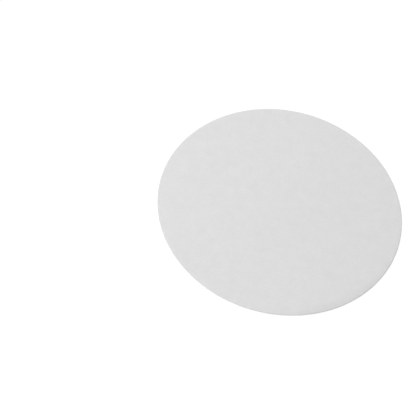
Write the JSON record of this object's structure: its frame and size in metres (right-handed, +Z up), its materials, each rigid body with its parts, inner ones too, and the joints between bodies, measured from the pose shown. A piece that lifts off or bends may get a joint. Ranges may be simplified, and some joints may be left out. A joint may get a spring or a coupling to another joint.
{
  "type": "filter paper disc",
  "caption": "Flat round disc of thin porous unglazed paper with a clean punched edge, laid in a funnel to strain solids out of a liquid.",
  "frame": {"origin": "centre of the underside, on the plane that the disc rests on", "axes": "+Z up through the paper, square to its faces; X and Y lie in the underside, and the disc is the same all round"},
  "size_m": [0.11, 0.11, 0.0002],
  "materials": {
    "filter_paper": "matt unglazed cotton-fibre filter paper, soft neutral white, slightly see-through, with a fine cloudy fibre texture"
  },
  "bodies": {
    "root": {"filter_disc": "filter_paper"}
  },
  "joints": []
}
